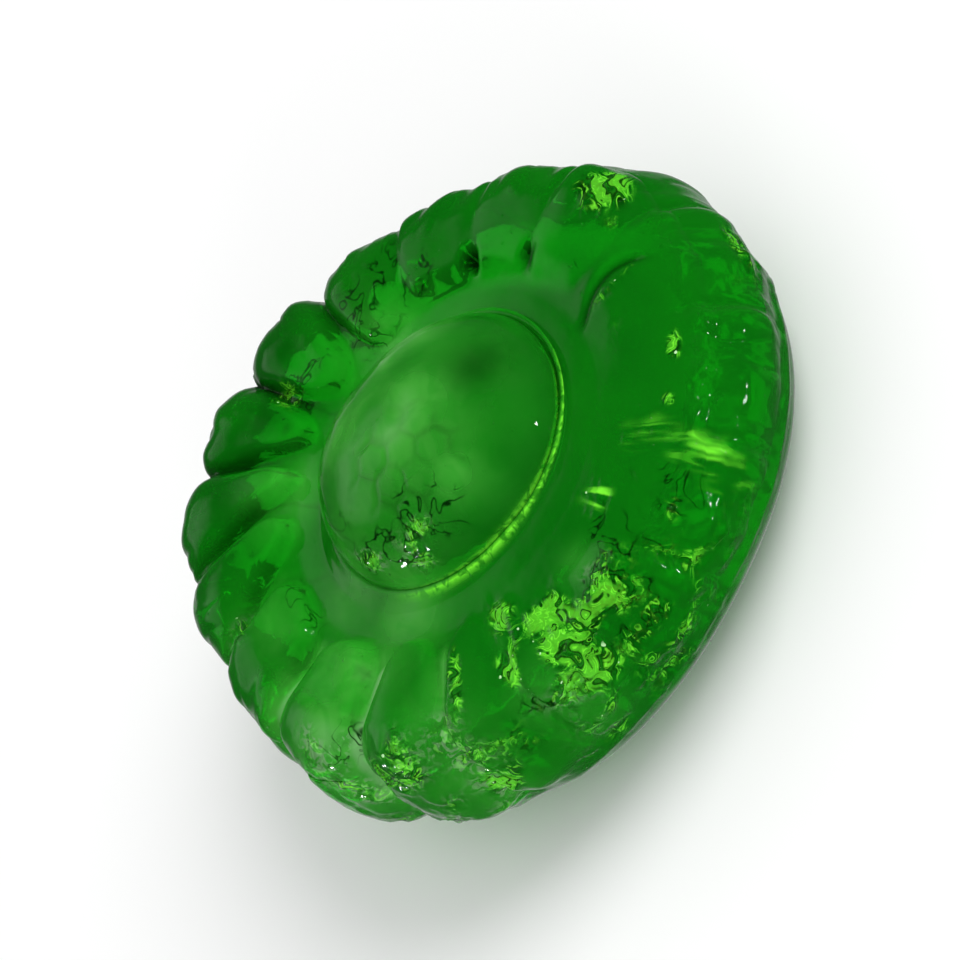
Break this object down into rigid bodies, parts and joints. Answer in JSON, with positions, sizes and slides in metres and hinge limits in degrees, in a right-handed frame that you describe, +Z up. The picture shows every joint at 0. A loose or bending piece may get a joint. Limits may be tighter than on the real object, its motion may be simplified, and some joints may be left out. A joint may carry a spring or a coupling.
{
  "type": "hard candy",
  "caption": "Round moulded hard candy of clear green boiled sugar, with a domed button inside a ring of petals and a fluted side, lying on its flat back.",
  "frame": {"origin": "on the flat back, under the middle of the outline seen from above", "axes": "+Z up, out of the decorated face; +X and +Y across the candy"},
  "size_m": [0.0254, 0.0228, 0.0112],
  "materials": {
    "boiled_sugar": "clear green boiled sugar, glossy as it leaves the mould"
  },
  "bodies": {
    "root": {"candy": "boiled_sugar"}
  },
  "joints": []
}
